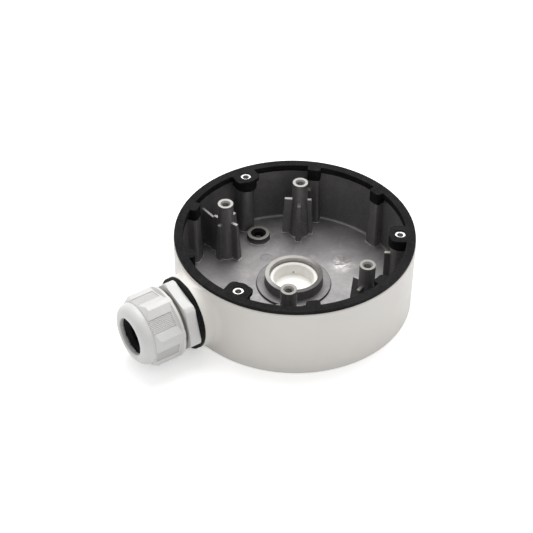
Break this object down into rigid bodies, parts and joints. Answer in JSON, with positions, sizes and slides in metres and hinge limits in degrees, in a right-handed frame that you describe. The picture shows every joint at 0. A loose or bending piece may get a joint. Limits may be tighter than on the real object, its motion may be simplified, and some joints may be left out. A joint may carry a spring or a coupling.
{
  "type": "camera junction box",
  "caption": "Round die-cast wall box for a dome camera: open top with a rubber rim gasket, finned camera bosses, a side cable gland and a plugged rear entry.",
  "frame": {"origin": "centre of the round back face that lies on the wall", "axes": "+Z out of the wall towards the open side; X and Y along the sides of the rectangle of the four camera bosses, so the side cable gland points 9.5 degrees from +X towards +Y"},
  "size_m": [0.2048, 0.157, 0.0515],
  "materials": {
    "casting": "die-cast, white powder coat outside, bare dark cast metal inside",
    "gasket_rubber": "matt black",
    "plug_plastic": "satin warm white",
    "gland_plastic": "satin light grey"
  },
  "bodies": {
    "box": {"housing": "casting", "rim_gasket": "gasket_rubber", "rear_entry_plug": "plug_plastic", "rear_plug_seal": "gasket_rubber", "wall_screw_seal_1": "gasket_rubber", "wall_screw_seal_2": "gasket_rubber", "gland_body": "gland_plastic", "gland_washer": "gasket_rubber"},
    "clamp": {"gland_clamping_cage": "gland_plastic", "gland_cable_seal": "gasket_rubber"},
    "nut": {"gland_dome_nut": "gland_plastic"}
  },
  "joints": [
    {"name": "clamp_slide", "type": "slide", "parent": "box", "child": "clamp", "axis": [-0.9863, -0.165, 0], "range_m": [-0.009, 0.0015]},
    {"name": "nut_turn", "type": "hinge", "parent": "clamp", "child": "nut", "pos_m": [0.10849, 0.01816, 0.0248], "axis": [-0.9863, -0.165, 0], "range_deg": [-2160, 360]}
  ],
  "couplings": [
    {"joint": "clamp_slide", "follows": "nut_turn", "m_per_rad": 0.00023873}
  ]
}
